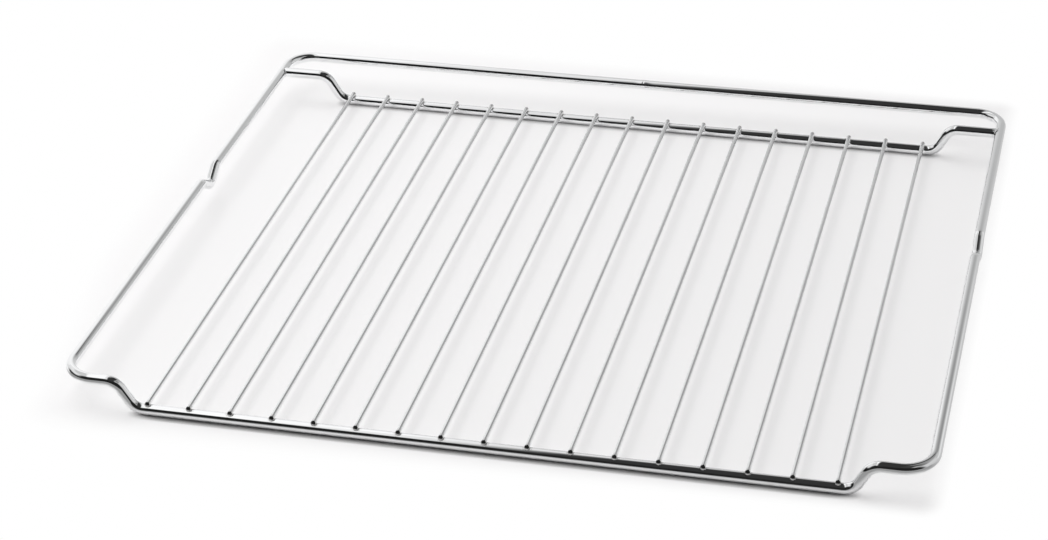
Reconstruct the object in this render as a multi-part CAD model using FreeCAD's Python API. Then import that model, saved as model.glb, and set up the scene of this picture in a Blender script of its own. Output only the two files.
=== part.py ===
import FreeCAD, Part
import math
import os

# Oven shelf rack of round steel wire, in millimetres, +Z up, front towards -Y.
# The origin lies on the resting plane, in the middle of the outer width and depth.

# Overall sizes, measured over the wire
outer_width = 466.0
outer_depth = 385.0
outer_height = 22.0

# Wire diameters
frame_wire = 6.0
grid_wire = 2.5

# Frame loop and rear bar, with bend radii to the axis of the wire
corner_radius = 16.0
shoulder_length = 24.6  # from the axis of a side rail to where the step down begins
step_radius = 9.0
step_angle = 60.0
bar_setback = 24.0  # from the axis of the rear rail to the axis of the rear bar
bar_seat = 1.8  # depth of the saddle where an end of the rear bar seats on a side rail

# Stop notches that dip below the side rails
notch_setback = 219.0  # from the axis of the front rail to the middle of the notch
notch_depth = 6.3
notch_radius = 7.0
notch_angle = 32.0

# Grid of straight wires, pressed into the tops of the front rail and the rear bar
wire_count = 17
end_wire_gap = 1.1  # from the side of an end wire to where the step begins
wire_overhang = 1.2  # past the axis of the rail under each end
press_depth = 0.4

# Places of the wire axes
half_width = (outer_width - frame_wire) / 2
half_depth = (outer_depth - frame_wire) / 2
low_level = frame_wire / 2
high_level = outer_height - frame_wire / 2
front_y = -half_depth
bar_y = half_depth - bar_setback
notch_y = front_y + notch_setback

# Corners of the step, where the straight runs would meet if they were not bent
step_reach = step_radius * math.tan(math.radians(step_angle) / 2)
step_top_x = half_width - shoulder_length - step_reach
step_foot_x = step_top_x - (high_level - low_level) / math.tan(math.radians(step_angle))
low_run_end = step_foot_x - step_reach


def bend_arc(before, corner, after, radius):
    """Arc that rounds a corner of the wire's axis, tangent to the runs before and after it."""
    inward = (corner - before).normalize()
    outward = (after - corner).normalize()
    half_turn = inward.getAngle(outward) / 2
    reach = radius * math.tan(half_turn)
    inside = (outward - inward).normalize()
    middle = corner + inside * radius * (1 / math.cos(half_turn) - 1)
    return Part.Arc(corner - inward * reach, middle, corner + outward * reach)


def wire_axis(corners, closed):
    """Axis of a bent wire through (point, radius) corners: straight runs joined by tangent arcs."""
    points = [FreeCAD.Vector(*point) for point, radius in corners]
    following = points[1:] + points[:1]
    stretches = []
    for index, (place, radius) in enumerate(corners):
        if closed or 0 < index < len(corners) - 1:
            stretches.append(bend_arc(points[index - 1], points[index], following[index], radius))
    starts = [arc.StartPoint for arc in stretches]
    ends = [arc.EndPoint for arc in stretches]
    if closed:
        runs = zip(ends, starts[1:] + starts[:1])
    else:
        runs = zip(points[:1] + ends, starts + points[-1:])
    stretches += [Part.LineSegment(start, end) for start, end in runs]
    return Part.Wire(Part.__sortEdges__([stretch.toShape() for stretch in stretches]))


def bent_wire(corners, diameter, closed):
    """Round section swept along the axis; an open wire has plain ends, a closed one is an endless loop."""
    axis = wire_axis(corners, closed)
    first = axis.OrderedEdges[0]
    heading = first.tangentAt(first.FirstParameter)
    section = Part.Circle(axis.OrderedVertexes[0].Point, heading, diameter / 2)
    return axis.makePipeShell([Part.Wire(section.toShape())], True, False)


def straight_run(start, end, diameter):
    """Straight round wire between two points."""
    along = end - start
    return Part.makeCylinder(diameter / 2, along.Length, start, along)


def cross_run_corners(y):
    """Steps of the front rail or the rear bar, from right to left: down to the low run and up again."""
    right = [(step_top_x, high_level), (step_foot_x, low_level)]
    left = [(-x, level) for x, level in reversed(right)]
    return [((x, y, level), step_radius) for x, level in right + left]


def notch_corners(side):
    """Stop notch of one side rail (-1 left, +1 right), from front to back: a dip with a rounded bottom."""
    angle = math.radians(notch_angle)
    corner_depth = notch_depth + notch_radius * (1 / math.cos(angle) - 1)
    half_length = corner_depth / math.tan(angle)
    x = side * half_width
    front = ((x, notch_y - half_length, high_level), notch_radius)
    bottom = ((x, notch_y, high_level - corner_depth), notch_radius)
    back = ((x, notch_y + half_length, high_level), notch_radius)
    return [front, bottom, back]


def frame_corner(side, y):
    """Plan corner of the frame loop, at the raised level."""
    return (side * half_width, y, high_level), corner_radius


def make_frame_loop():
    """Endless loop: low front rail stepped up at both ends, notched side rails, raised rear rail."""
    corners = cross_run_corners(front_y)
    corners += [frame_corner(-1, front_y), *notch_corners(-1), frame_corner(-1, half_depth)]
    corners += [frame_corner(1, half_depth), *reversed(notch_corners(1)), frame_corner(1, front_y)]
    return bent_wire(corners, frame_wire, closed=True)


def make_rear_bar(frame_loop):
    """Bar under the rear ends of the grid, with raised ends saddled against the side rails."""
    end_x = half_width - frame_wire / 2 + bar_seat
    right_end = ((end_x, bar_y, high_level), 0)
    left_end = ((-end_x, bar_y, high_level), 0)
    bar = bent_wire([right_end, *cross_run_corners(bar_y), left_end], frame_wire, closed=False)
    return bar.cut(frame_loop).Solids[0]


def low_run(y):
    """Straight low stretch of the front rail or of the rear bar, from right to left."""
    start = FreeCAD.Vector(low_run_end, y, low_level)
    return straight_run(start, FreeCAD.Vector(-low_run_end, y, low_level), frame_wire)


def make_grid_wire():
    """Straight wire from front to back, saddled on both low runs; it lies on x = 0."""
    level = frame_wire + grid_wire / 2 - press_depth
    start = FreeCAD.Vector(0, front_y - wire_overhang, level)
    wire = straight_run(start, FreeCAD.Vector(0, bar_y + wire_overhang, level), grid_wire)
    return wire.cut([low_run(front_y), low_run(bar_y)]).Solids[0]


def main():
    os.makedirs("parts", exist_ok=True)
    frame_loop = make_frame_loop()
    frame_loop.exportStep("parts/frame_loop.step")
    make_rear_bar(frame_loop).exportStep("parts/rear_bar.step")
    end_wire_x = low_run_end - end_wire_gap - grid_wire / 2
    pitch = 2 * end_wire_x / (wire_count - 1)
    wire = make_grid_wire()
    for number in range(wire_count):
        place = FreeCAD.Vector(number * pitch - end_wire_x, 0, 0)
        wire.translated(place).exportStep(f"parts/grid_wire_{number + 1:02d}.step")
    print(f"grid pitch {pitch:.2f} mm, low run {2 * low_run_end:.1f} mm, loop {frame_loop.Volume:.0f} mm3")


main()
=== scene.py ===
# %% [markdown]
# # An oven shelf rack of chromed wire
# The rack is one endless loop of thick round wire, stepped down at the front, with a bent bar
# across the back and seventeen thin wires welded between the two. Every piece is a round wire,
# so one idea makes nearly all of it: a circle carried along a path. The circle swells where the
# metal was welded and closes where it was cut, and those small forms make the rack look real.

import bpy
import numpy as np
from mathutils import Matrix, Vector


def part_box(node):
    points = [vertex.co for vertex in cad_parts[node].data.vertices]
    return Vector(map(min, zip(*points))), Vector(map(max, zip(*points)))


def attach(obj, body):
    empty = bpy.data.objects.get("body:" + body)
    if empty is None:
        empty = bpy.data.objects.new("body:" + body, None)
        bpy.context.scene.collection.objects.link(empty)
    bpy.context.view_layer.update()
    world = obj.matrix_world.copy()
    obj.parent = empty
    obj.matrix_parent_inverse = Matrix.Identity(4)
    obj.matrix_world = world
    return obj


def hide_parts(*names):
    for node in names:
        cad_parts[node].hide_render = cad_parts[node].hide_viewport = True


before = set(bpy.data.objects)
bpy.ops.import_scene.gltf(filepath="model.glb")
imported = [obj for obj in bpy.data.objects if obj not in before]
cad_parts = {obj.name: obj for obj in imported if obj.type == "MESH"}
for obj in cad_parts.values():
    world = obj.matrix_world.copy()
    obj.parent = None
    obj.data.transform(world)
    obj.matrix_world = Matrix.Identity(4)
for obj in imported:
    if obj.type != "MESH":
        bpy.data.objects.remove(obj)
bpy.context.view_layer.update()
MM = 0.001

# %% [markdown]
# ## Camera
# The picture was taken from the front right with a long lens, looking down by about 32 degrees.
# The place and the three turns could be found by dragging the camera until the rails line up.
# Here they are written as plain angles and turned into a matrix, so that each can be read and
# changed alone. The lens axis lies right of the picture's middle, as in a cropped picture, and
# the camera's sideways shift puts it there.

# %% Camera
picture_width = 1048  # pixels
focal_length = 2534.1  # pixels
axis_right = 120  # pixels, from the middle of the picture to the lens axis
sensor_width = 36.0  # millimetres
camera_place = np.array([315.3, -1207.3, 763.4]) * MM
yaw, down, roll = np.radians([-12.699, 31.658, -1.099])

forward = np.array([np.sin(yaw) * np.cos(down), np.cos(yaw) * np.cos(down), -np.sin(down)])
level = np.array([np.cos(yaw), -np.sin(yaw), 0.0])
upright = np.cross(level, forward)
camera_right = np.cos(roll) * level + np.sin(roll) * upright
camera_up = np.cos(roll) * upright - np.sin(roll) * level
camera_matrix = np.eye(4)
camera_matrix[:3] = np.column_stack([camera_right, camera_up, -forward, camera_place])

camera_data = bpy.data.cameras.new("photo_camera")
camera_data.sensor_width = sensor_width
camera_data.lens = focal_length * sensor_width / picture_width
camera_data.shift_x = -axis_right / picture_width
camera = bpy.data.objects.new("photo_camera", camera_data)
camera.matrix_world = Matrix(camera_matrix.tolist())
bpy.context.scene.collection.objects.link(camera)
bpy.context.scene.camera = camera
bpy.context.scene.view_settings.view_transform = "Standard"
print(f"lens {camera_data.lens:.1f} mm, shift {camera_data.shift_x:.3f}")

# %% [markdown]
# ## A circle carried along a path
# A wire rack is bent cold from straight wire, so the axis of each wire is a chain of straight
# runs joined by arcs. A curve object with a round bevel would give the tube too, but numpy gives
# every ring of the tube, and then the radius can change along the wire and round it. The path
# comes first: corner points and bend radii go in, and points with their tangents come out.

# %% Path of a bent wire
ARC_STEPS = 20
RUN_SPACING = 4 * MM


def unit(vectors):
    """Each vector divided by its own length."""
    return vectors / np.linalg.norm(vectors, axis=-1, keepdims=True)


def bent_path(points, radii, fine=()):
    """Axis of a bent wire. Each inner point becomes an arc tangent to the runs beside it: the arc's
    centre, plus the radius times (sine of the turn along the run before, minus cosine of the turn
    towards the inside). The straight runs are then divided evenly by their length, and also at the
    fine distances, which count back from the far end where they are negative."""
    along = unit(np.diff(points, axis=0))
    inward, outward = along[:-1], along[1:]
    half_turn = np.arccos(np.clip(np.sum(inward * outward, axis=1), -1, 1)) / 2
    reach = (radii * np.tan(half_turn))[:, None]
    inside = unit(outward - inward * np.sum(outward * inward, axis=1)[:, None])
    centre = points[1:-1] - inward * reach + inside * radii[:, None]
    turn = (2 * half_turn)[:, None, None] * np.linspace(0, 1, ARC_STEPS + 1)[None, :, None]
    arcs = centre[:, None] + radii[:, None, None] * (
        np.sin(turn) * inward[:, None] - np.cos(turn) * inside[:, None])
    headings = np.cos(turn) * inward[:, None] + np.sin(turn) * inside[:, None]
    path = np.vstack([points[:1], arcs.reshape(-1, 3), points[-1:]])
    heading = np.vstack([along[:1], headings.reshape(-1, 3), along[-1:]])

    distance = np.concatenate([[0], np.cumsum(np.linalg.norm(np.diff(path, axis=0), axis=1))])
    fine = np.asarray(fine, dtype=float)
    extra = np.arange(RUN_SPACING, distance[-1], RUN_SPACING)
    extra = np.concatenate([extra, np.where(fine < 0, fine + distance[-1], fine)])
    stretch = np.searchsorted(distance, extra)
    extra = extra[(stretch - 1) % (ARC_STEPS + 1) == 0]  # only the straight runs take extra points
    stations = np.unique(np.round(np.concatenate([distance, extra]), 7))
    path = np.column_stack([np.interp(stations, distance, path[:, axis]) for axis in range(3)])
    heading = np.column_stack([np.interp(stations, distance, heading[:, axis]) for axis in range(3)])
    return path, unit(heading), stations


print("steps in a bend:", ARC_STEPS, "spacing on a run in mm:", round(RUN_SPACING / MM, 1))

# %% [markdown]
# The skin of a wire is a grid: one index runs along the wire and the other round it. Each ring
# starts at the bottom of the wire, where a seam would show least. A ring may lean, with its top
# set back, for an end that was cut on a slant. The grid also keeps, for every point, its distance
# along the wire and its place in the round section, because drawn wire has fine lines along its
# length and the finish has to follow them through the bends.

# %% Skin of a wire
UP = np.array([0.0, 0.0, 1.0])


def wire_rings(path, heading, radius, around, lean=0.0, reference=UP):
    """Rings of a wire: each path point plus the radius times (cosine of the turn sideways plus sine
    of the turn upwards), both square to the heading, plus the lean times the height along the
    heading. Gives the rings, and across and height for every point of them."""
    sideways = unit(np.cross(heading, reference))
    upwards = np.cross(sideways, heading)
    turn = 2 * np.pi * np.arange(around) / around - np.pi / 2
    radius = np.broadcast_to(np.asarray(radius).reshape(-1, 1), (len(path), around))
    lean = np.broadcast_to(np.asarray(lean).reshape(-1, 1), (len(path), around))
    across, height = radius * np.cos(turn), radius * np.sin(turn)
    rings = path[:, None] + across[..., None] * sideways[:, None] + height[..., None] * upwards[:, None]
    return rings + (lean * height)[..., None] * heading[:, None], across, height


def ring_quads(rings, around, endless):
    """Quads between neighbouring rings of a tube, as rows of four point numbers."""
    first = np.arange(rings if endless else rings - 1)[:, None] * around
    second = (first + around) % (rings * around)
    this, after = np.arange(around), np.roll(np.arange(around), -1)
    return np.stack([first + this, second + this, second + after, first + after], axis=-1).reshape(-1, 4)


def end_fans(rings, around):
    """Triangles from the first and the last ring to the two poles, numbered after the rings."""
    this, after = np.arange(around), np.roll(np.arange(around), -1)
    last, pole = (rings - 1) * around, rings * around
    first_fan = np.column_stack([np.full(around, pole), this, after])
    last_fan = np.column_stack([np.full(around, pole + 1), last + after, last + this])
    return np.vstack([first_fan, last_fan])


print("wire functions ready")

# %% [markdown]
# ## Where the welds are
# A thin wire is pressed on a thick one by two electrodes, and the current melts both where they
# touch. The bar's ends are welded to the side rails, and the loop itself is closed by a butt weld
# in the rear rail. All these places, apart from the butt weld's, follow from the boxes of the CAD
# nodes, so they are worked out before any piece, and both the forms and the finish ask for them.

# %% Sizes and weld places
loop_low, loop_high = (np.array(corner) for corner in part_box("frame_loop"))
bar_low, bar_high = (np.array(corner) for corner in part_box("rear_bar"))
frame_radius = (bar_high[1] - bar_low[1]) / 2
side_x = loop_high[0] - frame_radius
front_y, rear_y = loop_low[1] + frame_radius, loop_high[1] - frame_radius
bar_y = bar_low[1] + frame_radius
low_z, high_z = loop_low[2] + frame_radius, loop_high[2] - frame_radius

grid_nodes = sorted(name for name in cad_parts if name.startswith("grid_wire_"))
grid_boxes = np.array([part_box(node) for node in grid_nodes])
grid_radius = (grid_boxes[0, 1, 0] - grid_boxes[0, 0, 0]) / 2
grid_x = grid_boxes[:, :, 0].mean(axis=1)
grid_front_y, grid_rear_y = grid_boxes[0, :, 1]
grid_z = grid_boxes[0, 1, 2] - grid_radius

butt_weld_x = 2.7 * MM
weld_reach = 3.2 * MM
seam_z = low_z + frame_radius
weld_places = np.array(
    [[x, y, seam_z] for y in (front_y, bar_y) for x in grid_x]
    + [[side * (side_x - frame_radius), bar_y, high_z] for side in (-1, 1)])


def weld_closeness(points):
    """From 0 far away to 1 at a weld: e to the minus square of the distance over the weld's reach."""
    gaps = np.linalg.norm(points[:, None] - weld_places[None], axis=2).min(axis=1)
    return np.exp(-(gaps / weld_reach) ** 2)


print("welds:", len(weld_places), "grid wires:", len(grid_nodes))

# %% [markdown]
# ## Shader node helpers
# Finishes and light are both made of shader nodes. Wiring them in the editor is quick for one
# material, but in a script each node would take five lines, so a few small functions add a node,
# fill its inputs with values or links, and hand back the output that the next node needs.

# %% Shader node helpers
def add_node(tree, kind, inputs=None, **settings):
    """New node; settings are its own properties, and an input is a plain value or another's output."""
    node = tree.nodes.new(kind)
    for setting, value in settings.items():
        setattr(node, setting, value)
    for name, value in (inputs or {}).items():
        if isinstance(value, bpy.types.NodeSocket):
            tree.links.new(value, node.inputs[name])
        else:
            node.inputs[name].default_value = value
    return node


def maths(tree, operation, first, second=0.0, third=0.0):
    """One step of arithmetic on two values, or on three where the operation takes them."""
    inputs = {0: first, 1: second, 2: third}
    return add_node(tree, "ShaderNodeMath", inputs, operation=operation).outputs[0]


def ease(tree, value, start, end):
    """Smooth rise from 0 at start to 1 at end."""
    inputs = {"Value": value, "From Min": start, "From Max": end}
    return add_node(tree, "ShaderNodeMapRange", inputs, interpolation_type="SMOOTHSTEP").outputs["Result"]


def mix_value(tree, share, first, second):
    """The first value where the share is 0, the second where it is 1."""
    inputs = {"Factor": share, "A": first, "B": second}
    return add_node(tree, "ShaderNodeMix", inputs, data_type="FLOAT").outputs[0]


def mix_colour(tree, share, first, second):
    """The first colour where the share is 0, the second where it is 1."""
    return add_node(tree, "ShaderNodeMix", {0: share, 6: first, 7: second}, data_type="RGBA").outputs[2]


def noise(tree, place, scale, detail=2.0):
    """Soft random values from 0 to 1, in features about one over the scale long."""
    factors = {0: place, 1: scale}
    stretched = add_node(tree, "ShaderNodeVectorMath", factors, operation="MULTIPLY").outputs[0]
    inputs = {"Vector": stretched, "Scale": 1.0, "Detail": detail}
    return add_node(tree, "ShaderNodeTexNoise", inputs).outputs[0]


def greys(tree, value, stops, reach=1.0):
    """Grey ramp over a value from minus to plus the reach; the stops are (value, grey)."""
    share = maths(tree, "MULTIPLY_ADD", value, 0.5 / reach, 0.5)
    node = add_node(tree, "ShaderNodeValToRGB", {0: share})
    elements = node.color_ramp.elements
    for index, (stop, grey) in enumerate(stops):
        position = (stop / reach + 1) / 2
        element = elements[index] if index < 2 else elements.new(position)
        element.position = position
        element.color = (grey, grey, grey, 1)
    return node.outputs[0]


def new_group(name, inputs, outputs):
    """Shader node group with named sockets; gives the group, its given values and its results."""
    group = bpy.data.node_groups.new(name, "ShaderNodeTree")
    for socket, kind in inputs.items():
        group.interface.new_socket(socket, in_out="INPUT", socket_type="NodeSocket" + kind)
    for socket, kind in outputs.items():
        group.interface.new_socket(socket, in_out="OUTPUT", socket_type="NodeSocket" + kind)
    given = group.nodes.new("NodeGroupInput").outputs
    results = group.nodes.new("NodeGroupOutput").inputs
    return group, given, results


print("node helpers ready")

# %% [markdown]
# ## Effects in the chrome
# Chrome plate is a thin skin, so it shows what lies under it. Drawn steel has fine lines along
# its length. The plate pools a little and makes slow waves that bend the reflections. Hands leave
# faint dull patches, and the plate is greyer and slightly pitted on a weld. Each effect is a node
# group of its own, so thick wire, thin wire and welds share the same five.

# %% Drawn lines and plate waves
LINES_ALONG = 14.0  # breaks in a drawn line, per metre of wire
SLOW_WAVES, QUICK_WAVES = (28, 130, 130), (110, 420, 420)  # per metre, along and across the wire
QUICK_SHARE = 0.25

drawn_lines, given, results = new_group(
    "drawn_lines", {"Wire Place": "Vector", "Lines Per Metre": "Float"}, {"Height": "Float"})
line_scale = add_node(drawn_lines, "ShaderNodeCombineXYZ", {
    "X": LINES_ALONG, "Y": given["Lines Per Metre"], "Z": given["Lines Per Metre"]}).outputs[0]
drawn_lines.links.new(noise(drawn_lines, given["Wire Place"], line_scale), results["Height"])

plate_waves, given, results = new_group(
    "plate_waves", {"Wire Place": "Vector"}, {"Height": "Float"})
slow = noise(plate_waves, given["Wire Place"], SLOW_WAVES, detail=1.0)
quick = noise(plate_waves, given["Wire Place"], QUICK_WAVES, detail=1.0)
plate_waves.links.new(mix_value(plate_waves, QUICK_SHARE, slow, quick), results["Height"])
print("groups:", drawn_lines.name, plate_waves.name)

# %% Plate tone and handling marks
CLOUDS, CLOUD_EDGE = (22, 22, 22), (0.35, 0.75)  # per metre, and the noise from its edge to its middle
PATCHES, PATCH_EDGE = (35, 35, 35), (0.5, 0.75)
SPECKS, SPECK_EDGE = (900, 900, 900), (0.45, 0.8)
SPECK_DULL, PATCH_DULL = 0.6, 0.5  # how much each adds to a mark

plate_tone, given, results = new_group(
    "plate_tone", {"Place": "Vector", "Bright": "Color", "Shade": "Color"}, {"Colour": "Color"})
cloud = ease(plate_tone, noise(plate_tone, given["Place"], CLOUDS, detail=3.0), *CLOUD_EDGE)
plate_tone.links.new(mix_colour(plate_tone, cloud, given["Bright"], given["Shade"]), results["Colour"])

handling_marks, given, results = new_group(
    "handling_marks", {"Place": "Vector", "Clean": "Float", "Marked": "Float"}, {"Roughness": "Float"})
patch = ease(handling_marks, noise(handling_marks, given["Place"], PATCHES), *PATCH_EDGE)
speck = ease(handling_marks, noise(handling_marks, given["Place"], SPECKS, detail=4.0), *SPECK_EDGE)
dullness = maths(handling_marks, "MULTIPLY_ADD", speck, SPECK_DULL, PATCH_DULL)
mark = maths(handling_marks, "MULTIPLY", patch, dullness)
roughness = mix_value(handling_marks, mark, given["Clean"], given["Marked"])
handling_marks.links.new(roughness, results["Roughness"])
print("groups:", plate_tone.name, handling_marks.name)

# %% Weld plating
GRAIN = (1500, 1500, 1500)  # per metre
RAGGED_EDGE = 0.35  # how far the grain frays the edge of a weld
WELD_EDGE = (0.55, 1.15)  # closeness from the edge of the weld's plating to its middle

weld_plating, given, results = new_group(
    "weld_plating",
    {"Place": "Vector", "Closeness": "Float", "Colour": "Color", "Roughness": "Float",
     "Weld Colour": "Color", "Weld Roughness": "Float"},
    {"Colour": "Color", "Roughness": "Float", "Height": "Float"})
grain = noise(weld_plating, given["Place"], GRAIN, detail=3.0)
ragged = maths(weld_plating, "MULTIPLY_ADD", grain, RAGGED_EDGE, given["Closeness"])
weld_mask = ease(weld_plating, ragged, *WELD_EDGE)
colour = mix_colour(weld_plating, weld_mask, given["Colour"], given["Weld Colour"])
roughness = mix_value(weld_plating, weld_mask, given["Roughness"], given["Weld Roughness"])
pits = maths(weld_plating, "MULTIPLY", weld_mask, grain)
weld_plating.links.new(colour, results["Colour"])
weld_plating.links.new(roughness, results["Roughness"])
weld_plating.links.new(pits, results["Height"])
print("group:", weld_plating.name)

# %% [markdown]
# ## Chrome finish
# A flat metallic colour with low roughness already looks like chrome, but like chrome on a
# drawing. The finish below takes tone and roughness from the groups, and adds the heights of the
# waves, lines and weld pits into one bump. The thick wire is polished brighter than the thin.

# %% Chrome finish
BUMP_REACH = 0.03 * MM  # height of the plate's waves
WELD_COLOUR = (0.55, 0.545, 0.54, 1)
WELD_ROUGHNESS = 0.16
WELD_PITS = 0.8  # depth of the pits on a weld against the waves


def chrome_finish(name, bright, shade, clean, marked, lines_per_mm, line_share):
    """Material of plated wire; the line share is the depth of the drawn lines against the waves."""
    material = bpy.data.materials.new(name)
    material.use_nodes = True
    tree = material.node_tree
    shader = tree.nodes["Principled BSDF"]
    shader.inputs["Metallic"].default_value = 1.0
    place = add_node(tree, "ShaderNodeTexCoord").outputs["Object"]
    wire_place = add_node(tree, "ShaderNodeAttribute", attribute_name="wire_place").outputs["Vector"]
    closeness = add_node(tree, "ShaderNodeAttribute", attribute_name="weld_closeness").outputs["Fac"]

    def effect(group, inputs):
        """Outputs of one of the effects in this material."""
        return add_node(tree, "ShaderNodeGroup", inputs, node_tree=group).outputs

    tone = effect(plate_tone, {"Place": place, "Bright": (*bright, 1), "Shade": (*shade, 1)})
    marks = effect(handling_marks, {"Place": place, "Clean": clean, "Marked": marked})
    weld = effect(weld_plating, {
        "Place": place, "Closeness": closeness,
        "Colour": tone["Colour"], "Roughness": marks["Roughness"],
        "Weld Colour": WELD_COLOUR, "Weld Roughness": WELD_ROUGHNESS})
    lines = effect(drawn_lines, {"Wire Place": wire_place, "Lines Per Metre": lines_per_mm / MM})
    waves = effect(plate_waves, {"Wire Place": wire_place})

    height = maths(tree, "MULTIPLY_ADD", lines["Height"], line_share, waves["Height"])
    height = maths(tree, "MULTIPLY_ADD", weld["Height"], WELD_PITS, height)
    bump = add_node(tree, "ShaderNodeBump", {"Height": height, "Strength": 1.0, "Distance": BUMP_REACH})
    tree.links.new(weld["Colour"], shader.inputs["Base Color"])
    tree.links.new(weld["Roughness"], shader.inputs["Roughness"])
    tree.links.new(bump.outputs["Normal"], shader.inputs["Normal"])
    return material


frame_chrome = chrome_finish(
    "frame_chrome", bright=(0.92, 0.925, 0.93), shade=(0.87, 0.875, 0.88),
    clean=0.025, marked=0.08, lines_per_mm=4, line_share=0.02)
grid_chrome = chrome_finish(
    "grid_chrome", bright=(0.86, 0.865, 0.87), shade=(0.8, 0.805, 0.81),
    clean=0.07, marked=0.16, lines_per_mm=8, line_share=0.03)
print("materials:", frame_chrome.name, grid_chrome.name)

# %% [markdown]
# ## From arrays to a piece
# Every form ends as a list of points and a list of faces. This cell puts them into a mesh, gives
# each point its place along the wire and its closeness to a weld for the finish to read, and
# makes the piece ride on the rack's one body.

# %% Pieces from arrays
def make_mesh_object(name, points, faces, material):
    """Smooth mesh object at the origin from arrays of points and faces."""
    mesh = bpy.data.meshes.new(name)
    mesh.from_pydata(points.tolist(), [], faces)
    mesh.polygons.foreach_set("use_smooth", np.ones(len(mesh.polygons), dtype=bool))
    mesh.materials.append(material)
    mesh.update()
    piece = bpy.data.objects.new(name, mesh)
    bpy.context.scene.collection.objects.link(piece)
    return piece


def make_piece(name, points, faces, wire_place, material, node=None):
    """Piece of the rack with its point values; it stands for a CAD node where one is named."""
    piece = make_mesh_object(name, points, faces, material)
    place_layer = piece.data.attributes.new("wire_place", "FLOAT_VECTOR", "POINT")
    place_layer.data.foreach_set("vector", wire_place.astype(np.float32).ravel())
    weld_layer = piece.data.attributes.new("weld_closeness", "FLOAT", "POINT")
    weld_layer.data.foreach_set("value", weld_closeness(points).astype(np.float32))
    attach(piece, "root")
    if node:
        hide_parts(node)


def make_wire(
        name, path, heading, stations, radius, around, material, node, lean=0.0, endless=False):
    """Whole wire: its rings, a pole at each open end, and every point's place along and round it."""
    rings, across, height = wire_rings(path, heading, radius, around, lean)
    lengthways = np.broadcast_to(stations[:, None], across.shape)
    place = np.stack([lengthways, across, height], axis=-1).reshape(-1, 3)
    points = rings.reshape(-1, 3)
    faces = ring_quads(len(path), around, endless).tolist()
    if not endless:
        points = np.vstack([points, path[:1], path[-1:]])
        place = np.vstack([place, [[stations[0], 0, 0], [stations[-1], 0, 0]]])
        faces += end_fans(len(path), around).tolist()
    make_piece(name, points, faces, place, material, node)


print("piece functions ready")

# %% [markdown]
# ## Frame loop
# One length of 6 mm wire is bent flat into a rectangle, its front is stepped down so that dishes
# sit lower than the runners, and each side rail gets a small dip that stops the shelf from being
# pulled out by accident. The two ends meet in the rear rail and are butt welded, which leaves a
# slight swelling with a fine seam. The loop starts and ends at that weld, so the swelling is only
# a radius that changes near the first and the last ring.

# %% Corners of the frame loop
corner_radius = 16 * MM
shoulder_length = 24.6 * MM
step_radius = 9 * MM
step_angle = np.radians(60)
notch_depth = 6.3 * MM
notch_radius = 7 * MM
notch_angle = np.radians(32)
notch_setback = 219 * MM
FRAME_AROUND = 56

step_reach = step_radius * np.tan(step_angle / 2)
step_top_x = side_x - shoulder_length - step_reach
step_foot_x = step_top_x - (high_z - low_z) / np.tan(step_angle)
notch_corner_depth = notch_depth + notch_radius * (1 / np.cos(notch_angle) - 1)
notch_half = notch_corner_depth / np.tan(notch_angle)
notch_y = front_y + notch_setback

right_half = np.array([
    [side_x, rear_y, high_z],
    [side_x, notch_y + notch_half, high_z],
    [side_x, notch_y, high_z - notch_corner_depth],
    [side_x, notch_y - notch_half, high_z],
    [side_x, front_y, high_z],
    [step_top_x, front_y, high_z],
    [step_foot_x, front_y, low_z]])
right_radii = np.array([corner_radius, *[notch_radius] * 3, corner_radius, step_radius, step_radius])
left_half = right_half[::-1] * [-1, 1, 1]
butt_weld = np.array([[butt_weld_x, rear_y, high_z]])
loop_points = np.vstack([butt_weld, right_half, left_half, butt_weld])
loop_radii = np.concatenate([right_radii, right_radii[::-1]])
print("corners of the loop:", len(loop_radii))

# %% Skin of the frame loop
weld_swelling, weld_swelling_reach = 0.09 * MM, 3 * MM
seam_depth, seam_reach = 0.03 * MM, 0.4 * MM
CLOSE_RINGS = 24  # on each side of the weld
close_first, close_last = 0.2, 6  # millimetres from it

weld_steps = np.linspace(close_first, close_last, CLOSE_RINGS) * MM
path, heading, stations = bent_path(loop_points, loop_radii, np.concatenate([weld_steps, -weld_steps]))
from_weld = np.minimum(stations, stations[-1] - stations)
swelling = weld_swelling * np.exp(-(from_weld / weld_swelling_reach) ** 2)
seam = seam_depth * np.exp(-(from_weld / seam_reach) ** 2)
loop_radius = frame_radius + swelling - seam
make_wire(
    "frame_wire_loop", path[:-1], heading[:-1], stations[:-1], loop_radius[:-1], FRAME_AROUND,
    frame_chrome, "frame_loop", endless=True)
print("frame loop rings:", len(path) - 1, "length in m:", round(float(stations[-1]), 3))

# %% [markdown]
# ## Rear bar
# The bar carries the rear ends of the thin wires. It has the same steps as the front rail, and
# its raised ends run into the side rails. The front rail's profile is used again at another
# depth, so the two stay in line however the sizes change.

# %% Rear bar
bar_half = np.array([
    [bar_high[0], bar_y, high_z],
    [step_top_x, bar_y, high_z],
    [step_foot_x, bar_y, low_z]])
bar_points = np.vstack([bar_half, bar_half[::-1] * [-1, 1, 1]])
path, heading, stations = bent_path(bar_points, np.full(len(bar_points) - 2, step_radius))
make_wire(
    "rear_support_bar", path, heading, stations, np.full(len(path), frame_radius), FRAME_AROUND,
    frame_chrome, "rear_bar")
print("rear bar rings:", len(path))

# %% [markdown]
# ## Thin wires of the grid
# Seventeen straight wires lie across the two low runs. The shear that cuts them leaves a slightly
# slanted face with a soft rim, and the weld squeezes the end a little wider. A plain cylinder
# would show a flat disc there. Instead the last rings shrink along a quarter circle and then
# close over a shallow dome, and at the front they lean back as the cut does.

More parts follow.
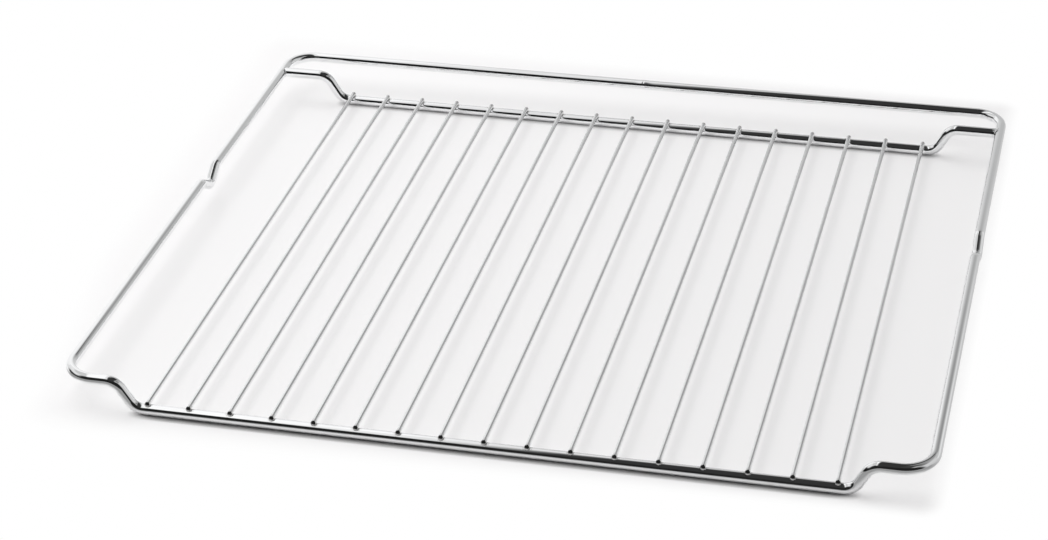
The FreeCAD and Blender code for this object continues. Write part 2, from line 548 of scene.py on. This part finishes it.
# %% Profile of a grid wire
END_RIM_STEPS, END_DOME_STEPS, END_CLOSE_RINGS = 7, 5, 16
end_close_first, end_close_last = 0.7, 7  # millimetres from the end
end_rim = 0.4 * MM
end_dome = 0.22 * MM
dome_outer, dome_inner = 0.85, 0.15  # shares of the way out from the axis
end_swelling = 0.13  # share of the radius
end_swelling_reach = 1.5 * MM


def cut_end(radius):
    """Profile of a cut end as distances past the end plane and radii: a quarter circle for the rim,
    then a dome that rises by one minus the square of the share of the way out from the axis."""
    turn = np.linspace(0, np.pi / 2, END_RIM_STEPS)
    share = np.linspace(dome_outer, dome_inner, END_DOME_STEPS)
    past = np.concatenate([end_rim * (np.sin(turn) - 1), end_dome * (1 - share ** 2)])
    radii = np.concatenate([radius - end_rim * (1 - np.cos(turn)), (radius - end_rim) * share])
    return past, radii


grid_length = grid_rear_y - grid_front_y
past, end_radii = cut_end(grid_radius * (1 + end_swelling))
near = np.linspace(end_close_first, end_close_last, END_CLOSE_RINGS) * MM
middle = np.arange(near[-1] + RUN_SPACING, grid_length - near[-1], RUN_SPACING)
body = np.concatenate([near, middle, grid_length - near[::-1]])
stations = np.concatenate([-past[::-1], body, grid_length + past])
from_end = np.minimum(body, grid_length - body)
body_radii = grid_radius * (1 + end_swelling * np.exp(-(from_end / end_swelling_reach) ** 2))
wire_radii = np.concatenate([end_radii[::-1], body_radii, end_radii])
print("rings of a grid wire:", len(stations))

# %% Grid wires
GRID_AROUND = 32
front_lean = np.tan(np.radians(24))
lean_reach = 1.6 * MM

lean = front_lean * np.exp(-np.maximum(stations, 0) / lean_reach)
heading = np.tile([0.0, 1.0, 0.0], (len(stations), 1))
axis_path = np.column_stack([0 * stations, grid_front_y + stations, 0 * stations + grid_z])
for node, x in zip(grid_nodes, grid_x):
    path = axis_path + [x, 0, 0]
    make_wire(
        node.replace("grid_wire", "shelf_wire"), path, heading, stations, wire_radii, GRID_AROUND,
        grid_chrome, node, lean=lean)
print("grid wires:", len(grid_nodes))

# %% [markdown]
# ## Weld beads
# Where a thin wire sinks into a thick one, a little metal is pressed out and sets as a low bead
# along the seam. The seam is the curve where two crossing cylinders meet, so it can be written
# down: walk across the thin wire, find how low its underside is, and find how far along that
# height is reached on the thick one. A small circle carried along this closed curve is the bead.

# %% Seam of a crossing
BEAD_STEPS, BEAD_AROUND = 48, 10
bead_radius = 0.22 * MM
bead_side_radius = 0.1 * MM  # added where the metal is pressed out sideways
bead_past_end = 0.1 * MM


def closed_heading(path):
    """Direction of a closed path at each point, from the point before to the point after."""
    return unit(np.roll(path, -1, axis=0) - np.roll(path, 1, axis=0))


def crossing_seam(end_side):
    """Seam under a thin wire that ends just past the thick one, on side -1 (front) or +1 (back).
    Across the thin wire x is its half width on the rail times the sine of the turn; the underside
    there is the axis height less the root of radius squared less x squared; y is the root of rail
    radius squared less that height squared, cut short at the wire's end."""
    turn = 2 * np.pi * np.arange(BEAD_STEPS) / BEAD_STEPS
    axis_height = grid_z - low_z
    half_width = np.sqrt(grid_radius ** 2 - (axis_height - frame_radius) ** 2)
    x = half_width * np.sin(turn)
    underside = axis_height - np.sqrt(grid_radius ** 2 - x ** 2)
    y = np.sign(np.cos(turn)) * np.sqrt(np.maximum(frame_radius ** 2 - underside ** 2, 0))
    overhang = grid_rear_y - bar_y
    y = end_side * np.minimum(end_side * y, overhang + bead_past_end)
    return np.column_stack([x, y, np.sqrt(frame_radius ** 2 - y ** 2)]), turn


print("steps round a seam:", BEAD_STEPS)


# %% Beads at the crossings
def make_crossing_beads(name, rail_y, end_side):
    """One bead for each thin wire on the rail, all in one piece."""
    seam_path, turn = crossing_seam(end_side)
    radius = bead_radius + bead_side_radius * np.sin(turn) ** 2
    bead = wire_rings(seam_path, closed_heading(seam_path), radius, BEAD_AROUND)[0].reshape(-1, 3)
    places = np.column_stack([grid_x, np.full(len(grid_x), rail_y), np.full(len(grid_x), low_z)])
    points = (places[:, None] + bead[None]).reshape(-1, 3)
    quads = ring_quads(BEAD_STEPS, BEAD_AROUND, endless=True)
    faces = quads[None] + len(bead) * np.arange(len(grid_x))[:, None, None]
    make_piece(name, points, faces.reshape(-1, 4).tolist(), points, grid_chrome)


make_crossing_beads("front_weld_beads", front_y, -1)
make_crossing_beads("rear_weld_beads", bar_y, 1)
print("beads:", 2 * len(grid_x))

# %% [markdown]
# The ends of the bar are welded all round to the side rails. The seam of two equal cylinders that
# meet at a right angle is again easy to write: go round the bar, and the rail's surface is nearer
# by the radius times the cosine of the turn.

# %% Welds at the ends of the bar
END_STEPS = 72
end_bead_radius = 0.55 * MM
end_bead_ripple = 0.12  # share of the radius
QUICK_RIPPLES, SLOW_RIPPLES, RIPPLE_SHIFT = 5, 2, 1  # counts round the bar, and radians between them
ALONG_BAR = np.array([1.0, 0.0, 0.0])


def make_bar_end_weld(name, side):
    """Bead round an end of the bar: y and z go round the bar's circle, and x is the side rail's axis
    less the frame radius times the size of the cosine, but not past the bar's own end. Its radius
    ripples as the product of two sines, as a hand's weld does."""
    turn = 2 * np.pi * np.arange(END_STEPS) / END_STEPS
    x = np.minimum(side_x - frame_radius * np.abs(np.cos(turn)), bar_high[0])
    seam_path = np.column_stack([
        side * x, bar_y + frame_radius * np.cos(turn), high_z + frame_radius * np.sin(turn)])
    ripple = np.sin(QUICK_RIPPLES * turn) * np.sin(SLOW_RIPPLES * turn + RIPPLE_SHIFT)
    radius = end_bead_radius * (1 + end_bead_ripple * ripple)
    bead = wire_rings(
        seam_path, closed_heading(seam_path), radius, BEAD_AROUND, reference=ALONG_BAR)[0]
    points = bead.reshape(-1, 3)
    faces = ring_quads(END_STEPS, BEAD_AROUND, endless=True).tolist()
    make_piece(name, points, faces, points, frame_chrome)


make_bar_end_weld("bar_end_weld_left", -1)
make_bar_end_weld("bar_end_weld_right", 1)
print("bar end welds: 2")

# %% [markdown]
# ## Floor
# The rack lies on a pale sheet that keeps its shadows, and the sheet fades to plain white a short
# way outside the rack. A white plane under strong lamps would wash the chrome out. Here the floor
# is matt near the rack and gives off plain white further out, but only to the camera and to
# reflections, so it adds no light. The sheet is a wide disc whose rings lie closer together near
# the middle.

# %% Floor sheet
floor_reach = 5.0
floor_drop = 0.02 * MM
SPOKES, FLOOR_RINGS = 64, 24

span = np.linspace(0, 1, FLOOR_RINGS)[1:, None] ** 2 * floor_reach
turn = 2 * np.pi * np.arange(SPOKES)[None, :] / SPOKES
rings = np.stack([span * np.cos(turn), span * np.sin(turn), 0 * span * turn - floor_drop], axis=-1)
floor_points = np.vstack([rings.reshape(-1, 3), [[0, 0, -floor_drop]]])
this, after = np.arange(SPOKES), np.roll(np.arange(SPOKES), -1)
middle_fan = np.column_stack([np.full(SPOKES, len(floor_points) - 1), this, after])
floor_faces = ring_quads(FLOOR_RINGS - 1, SPOKES, endless=False).tolist() + middle_fan.tolist()
print("floor faces:", len(floor_faces))

# %% Tone of the floor, darkened to the right by painted shade
# The grey darkens from left to right as painted shade, for light that falls off away from the left.
left_lit_tone, right_shaded_tone = (0.937, 0.93, 0.933, 1), (0.895, 0.888, 0.891, 1)
shade_gradient_reach = 1.2 * side_x

floor_material = bpy.data.materials.new("studio_floor")
floor_material.use_nodes = True
tree = floor_material.node_tree
sheet = tree.nodes["Principled BSDF"]
sheet.inputs["Roughness"].default_value = 1.0
sheet.inputs["Specular IOR Level"].default_value = 0.0
place = add_node(tree, "ShaderNodeTexCoord").outputs["Object"]
x, y, z = add_node(tree, "ShaderNodeSeparateXYZ", {0: place}).outputs
tone = mix_colour(tree, ease(tree, x, -shade_gradient_reach, shade_gradient_reach), left_lit_tone, right_shaded_tone)
tree.links.new(tone, sheet.inputs["Base Color"])
print("floor grey from", left_lit_tone[0], "on the left to", right_shaded_tone[0], "on the right")

# %% [markdown]
# The fade follows one distance, measured from a rectangle round the rack. The rectangle is larger
# behind the rack and on its left, where the grey of the sheet reaches further, and the fade itself
# is quicker on the right. Chrome shows the outer floor as well, with painted shade that makes it
# greyer on the right and in front, where less light falls on the camera's side.

# %% Distance from the rack
grey_behind, grey_left, grey_right = 42 * MM, 22 * MM, -6 * MM  # how far past the rails the grey is full
grey_left_rise = 160 * MM  # from the front, along which the grey on the left spreads


def outside(tree, x, y, low, high):
    """Distance of a floor point from a rectangle, 0 inside it: the root of the sum of the squares of
    how far the point lies past the rectangle sideways and past it to the front or back."""
    squares = []
    for place, start, end in ((x, low[0], high[0]), (y, low[1], high[1])):
        before = maths(tree, "SUBTRACT", start, place)
        beyond = maths(tree, "SUBTRACT", place, end)
        past = maths(tree, "MAXIMUM", maths(tree, "MAXIMUM", before, beyond), 0.0)
        squares.append(maths(tree, "MULTIPLY", past, past))
    return maths(tree, "SQRT", maths(tree, "ADD", *squares))


left_spread = ease(tree, y, front_y, front_y + grey_left_rise)
left_edge = maths(tree, "MULTIPLY_ADD", left_spread, -grey_left, -side_x)
outside_rack = outside(tree, x, y, (left_edge, front_y), (side_x + grey_right, rear_y + grey_behind))
print("full grey behind the rack in mm:", round(grey_behind / MM))

# %% Fade to white
fade_left, fade_right, mirrored_fade = 26 * MM, 15 * MM, 32 * MM  # widths of the fade
# In reflections the outer floor glows less on the right and in front: painted shade.
mirrored_left, mirrored_right_shaded, mirrored_front_shaded = 1.0, 0.6, 0.33  # outer floor as the chrome shows it
front_start, front_end = front_y - 10 * MM, front_y + 50 * MM

light_path = add_node(tree, "ShaderNodeLightPath").outputs
across_rack = ease(tree, x, -side_x, side_x)
fade_width = mix_value(tree, across_rack, fade_left, fade_right)
fade_width = mix_value(tree, light_path["Is Glossy Ray"], fade_width, mirrored_fade)
mirrored = mix_value(tree, across_rack, mirrored_left, mirrored_right_shaded)
mirrored = mix_value(tree, ease(tree, y, front_start, front_end), mirrored_front_shaded, mirrored)
strength = mix_value(tree, light_path["Is Glossy Ray"], 1.0, mirrored)
white = add_node(tree, "ShaderNodeEmission", {"Color": (1, 1, 1, 1), "Strength": strength}).outputs[0]
seen = maths(tree, "ADD", light_path["Is Camera Ray"], light_path["Is Glossy Ray"])
seen = maths(tree, "ADD", seen, light_path["Is Transmission Ray"])
white_share = maths(tree, "MULTIPLY", ease(tree, outside_rack, 0.0, fade_width), seen)
print("fade on the left and right in mm:", round(fade_left / MM), round(fade_right / MM))

# %% [markdown]
# In a bright studio light comes from nearly everywhere, so metal on the floor has a dark line where
# it touches and hardly any broad shade. Half of the floor that the camera sees therefore glows as
# plain paper with a painted contact shadow, darkened only by what lies within a few millimetres.
# Ambient occlusion measures that, and a power of it sets how dark the painted line is: strong under
# the front rail, weak at the rear bar and where the steps leave the floor.

# %% Paper with painted contact shadow
paper_share = 0.5
contact_reach = 3.6 * MM
contact_front, contact_rear, contact_ends = 5.5, 0.5, 0.8  # powers of the close shade
contact_ends_fade = 18 * MM  # along the rail, up to where the step leaves the floor

nearness = add_node(tree, "ShaderNodeAmbientOcclusion", {"Distance": contact_reach}, samples=8)
power = mix_value(tree, ease(tree, y, front_y, bar_y), contact_front, contact_rear)
from_middle = maths(tree, "ABSOLUTE", x)
near_step = ease(tree, from_middle, step_foot_x - contact_ends_fade, step_foot_x)
power = mix_value(tree, near_step, power, contact_ends)
# A power of the occlusion darkens the paper's glow: a painted contact shadow.
painted_contact_shadow = maths(tree, "POWER", nearness.outputs["AO"], power)
paper_painted_shadow = add_node(tree, "ShaderNodeEmission", {"Color": tone, "Strength": painted_contact_shadow}).outputs[0]
lifted = maths(tree, "MULTIPLY", light_path["Is Camera Ray"], paper_share)
inner = add_node(tree, "ShaderNodeMixShader", {0: lifted, 1: sheet.outputs[0], 2: paper_painted_shadow}).outputs[0]
surface = add_node(tree, "ShaderNodeMixShader", {0: white_share, 1: inner, 2: white}).outputs[0]
tree.links.new(surface, tree.nodes["Material Output"].inputs["Surface"])
floor = make_mesh_object("studio_floor", floor_points, floor_faces, floor_material)
print("floor nodes:", len(tree.nodes))

# %% [markdown]
# ## Studio light
# Polished wire has hardly any colour of its own: what it shows is the room. This room has a pale
# wall on the left and behind, a long white light overhead on the left, a dark ceiling beside it
# and a dark front where the camera stands. Lamps and cards could be set up for all of it, but a
# world of a few grey ramps over the direction of a ray gives the same room and no noise. The three
# parts of the direction are called right, back and height, and run from -1 to 1.

# %% Walls of the studio
wall_greys = [
    (-1, 0.75), (-0.55, 0.86), (-0.34, 0.78), (-0.28, 0.62), (-0.2, 0.43), (-0.1, 0.31),
    (0.0, 0.28), (0.2, 0.28), (0.35, 0.4), (0.6, 0.55), (0.85, 0.68), (1, 0.62)]
front_greys = [(-1, 0.4), (-0.8, 0.3), (-0.68, 0.015), (0.85, 0.015), (1, 0.05)]
front_to_walls = (-0.5, -0.2)  # back, where the dark front gives way to the walls
left_foot_grey = 0.02  # low on the left wall
left_foot_height, left_foot_back, left_foot_right = (0.45, 0.3), (0.35, 0.05), (-0.3, -0.6)
far_glow_strength = 0.25
far_glow_back, far_glow_right = (0.75, 0.86), (0.1, 0.3)

world = bpy.data.worlds.new("studio")
bpy.context.scene.world = world
world.use_nodes = True
tree = world.node_tree
direction = add_node(tree, "ShaderNodeTexCoord").outputs["Generated"]
right, back, height = add_node(tree, "ShaderNodeSeparateXYZ", {0: direction}).outputs

front_wall = greys(tree, right, front_greys)
other_walls = greys(tree, right, wall_greys)
around = mix_value(tree, ease(tree, back, *front_to_walls), front_wall, other_walls)
left_foot = maths(
    tree, "MULTIPLY", ease(tree, height, *left_foot_height), ease(tree, back, *left_foot_back))
left_foot = maths(tree, "MULTIPLY", left_foot, ease(tree, right, *left_foot_right))
around = mix_value(tree, left_foot, around, left_foot_grey)
far_glow = maths(
    tree, "MULTIPLY", ease(tree, back, *far_glow_back), ease(tree, right, *far_glow_right))
around = maths(tree, "MULTIPLY_ADD", far_glow, far_glow_strength, around)
print("nodes of the walls:", len(tree.nodes))

# %% Ceiling of the studio
ceiling_greys = [
    (-1, 0.6), (-0.46, 0.62), (-0.42, 1.08), (-0.31, 1.08), (-0.27, 0.85), (-0.14, 0.78),
    (-0.105, 0.2), (-0.07, 0.045), (0.35, 0.05), (0.5, 0.18), (1, 0.3)]
light_slant = -0.07  # how far the white light turns to the left towards the back
rear_glow_strength, right_edge_strength = 0.25, 0.4
rear_glow_back, rear_glow_right = (0.0, 0.4), (-0.18, 0.0)  # where each of them sets in
right_edge_back, right_edge_right = (-0.1, -0.35), (0.3, 0.5)
ceiling_tilt = 0.1
ceiling_height, ceiling_back = (0.68, 0.735), (0.92, 0.75)

slanted = maths(tree, "MULTIPLY_ADD", back, light_slant, right)
ceiling = greys(tree, slanted, ceiling_greys)
rear_glow = maths(
    tree, "MULTIPLY", ease(tree, back, *rear_glow_back), ease(tree, right, *rear_glow_right))
ceiling = maths(tree, "MULTIPLY_ADD", rear_glow, rear_glow_strength, ceiling)
right_edge = maths(
    tree, "MULTIPLY", ease(tree, back, *right_edge_back), ease(tree, right, *right_edge_right))
ceiling = maths(tree, "MULTIPLY_ADD", right_edge, right_edge_strength, ceiling)
tilted = maths(tree, "MULTIPLY_ADD", back, ceiling_tilt, height)
overhead = maths(
    tree, "MULTIPLY", ease(tree, tilted, *ceiling_height), ease(tree, back, *ceiling_back))
studio = mix_value(tree, overhead, around, ceiling)
print("nodes of the walls and ceiling:", len(tree.nodes))

# %% [markdown]
# The matt floor needs other light than the chrome. It gets a plain sky, mostly from the sides, so
# that a wire takes away little of it straight below, and one large light box high on the left,
# which draws a soft shadow on the right of each wire. Reflections see the studio instead of these
# two, and the camera sees plain white.

# %% Sky for matt surfaces
sky_strength = 2.2
sky_above = 0.3  # share that is left straight overhead
sky_back, sky_right, sky_aside = (-0.5, 0.3), (2.0, -1.0), (0.15, 0.6)  # where the sky gets brighter

light_path = add_node(tree, "ShaderNodeLightPath").outputs
sky = maths(tree, "MULTIPLY", ease(tree, back, *sky_back), ease(tree, right, *sky_right))
aside = ease(tree, maths(tree, "ABSOLUTE", right), *sky_aside)
sky = maths(tree, "MULTIPLY", sky, mix_value(tree, aside, sky_above, 1.0))
sky = maths(tree, "MULTIPLY", sky, sky_strength)
lit = mix_value(tree, light_path["Is Glossy Ray"], sky, studio)
plain = maths(tree, "ADD", light_path["Is Camera Ray"], light_path["Is Transmission Ray"])
background = tree.nodes["Background"]
background.inputs["Color"].default_value = (1, 1, 1, 1)
tree.links.new(mix_value(tree, plain, lit, 1.0), background.inputs["Strength"])
print("nodes of the world:", len(tree.nodes))

# %% Light box over the floor
box_place = (-0.7, 0.2, 1.5)
box_size = (1.3, 2.0)
box_watts = 16.5

box_data = bpy.data.lights.new("light_box", "AREA")
box_data.shape = "RECTANGLE"
box_data.size, box_data.size_y = box_size
box_data.energy = box_watts
light_box = bpy.data.objects.new("light_box", box_data)
light_box.location = box_place
light_box.visible_camera = False
light_box.visible_glossy = False
bpy.context.scene.collection.objects.link(light_box)
print("light box:", box_watts, "W")

# %% [markdown]
# ## Cards near the rack
# The world is endlessly far away, so the front rail and the rear rail would show one and the same
# picture of it. Two cards stand nearer, as they would in a studio: a pale wall behind the rack,
# and a dark slat overhead that cuts off the white light. Only reflections see them. The wall turns
# clear towards its top and the slat towards its left edge, where a hard line would show.

# %% Cards that only reflections see
def card_material(name):
    """New material of a card; gives it, its node tree, and x, y and z of the card's points."""
    material = bpy.data.materials.new(name)
    material.use_nodes = True
    tree = material.node_tree
    place = add_node(tree, "ShaderNodeTexCoord").outputs["Object"]
    return material, tree, *add_node(tree, "ShaderNodeSeparateXYZ", {0: place}).outputs


def paint_card(tree, grey, solid):
    """Makes the card give off the grey where solid is 1, and clear where it is 0."""
    glow = add_node(tree, "ShaderNodeEmission", {"Strength": grey}).outputs[0]
    clear = add_node(tree, "ShaderNodeBsdfTransparent").outputs[0]
    surface = add_node(tree, "ShaderNodeMixShader", {0: solid, 1: clear, 2: glow}).outputs[0]
    tree.links.new(surface, tree.nodes["Material Output"].inputs["Surface"])


def make_card(name, x, y, z, material):
    """Card whose points are a grid, given as three arrays of one shape."""
    rows, columns = x.shape
    points = np.stack([x, y, z], axis=-1).reshape(-1, 3)
    corner = (np.arange(rows - 1)[:, None] * columns + np.arange(columns - 1)).ravel()
    faces = np.column_stack([corner, corner + 1, corner + columns + 1, corner + columns])
    card = make_mesh_object(name, points, faces.tolist(), material)
    card.visible_camera = card.visible_diffuse = card.visible_shadow = False
    return card


print("card functions ready")

# %% Back wall
WALL_COLUMNS, WALL_ROWS = 11, 5
wall_y, wall_reach, wall_fade, wall_top = 1.1, 2.5, 1.1, 1.35
foot_light, foot_top, foot_fade = 0.22, 0.9, 0.4  # added near the floor
foot_left, foot_right = -0.5, 0.2  # between which that light sets in
back_greys = [
    (-2.5, 0.9), (-0.9, 1.0), (-0.52, 0.9), (-0.4, 0.78), (-0.3, 0.63), (0, 0.44), (0.3, 0.33),
    (0.55, 0.3), (0.7, 0.28), (0.85, 0.36), (1.08, 0.58), (2.5, 0.6)]

material, tree, x, y, z = card_material("studio_back_wall")
foot = maths(tree, "MULTIPLY", ease(tree, z, foot_top, foot_fade), ease(tree, x, foot_left, foot_right))
grey = maths(tree, "MULTIPLY_ADD", foot, foot_light, greys(tree, x, back_greys, wall_reach))
paint_card(tree, grey, ease(tree, z, wall_top, wall_fade))
wall_x, wall_z = np.meshgrid(
    np.linspace(-wall_reach, wall_reach, WALL_COLUMNS), np.linspace(0, wall_top, WALL_ROWS))
back_wall = make_card("studio_back_wall", wall_x, np.full_like(wall_x, wall_y), wall_z, material)
print("back wall faces:", len(back_wall.data.polygons))

# %% Dark slat beside the white light
SLAT_ROWS, SLAT_COLUMNS = 12, 5
slat_z, slat_width, slat_fade = 1.0, 0.45, 0.09
slat_front, slat_back = -1.5, 1.05
slat_edge, slat_slope = -0.164, 0.16  # x of its left edge at y = 0, and its turn to the right
slat_grey = 0.035

material, tree, x, y, z = card_material("studio_slat")
past_edge = maths(tree, "SUBTRACT", x, maths(tree, "MULTIPLY_ADD", y, slat_slope, slat_edge))
paint_card(tree, slat_grey, ease(tree, past_edge, -slat_fade, slat_fade))
across, slat_y = np.meshgrid(
    np.linspace(-slat_fade, slat_width, SLAT_COLUMNS), np.linspace(slat_front, slat_back, SLAT_ROWS))
slat_x = slat_edge + slat_slope * slat_y + across
slat = make_card("studio_slat", slat_x, slat_y, np.full_like(slat_x, slat_z), material)
print("slat faces:", len(slat.data.polygons))
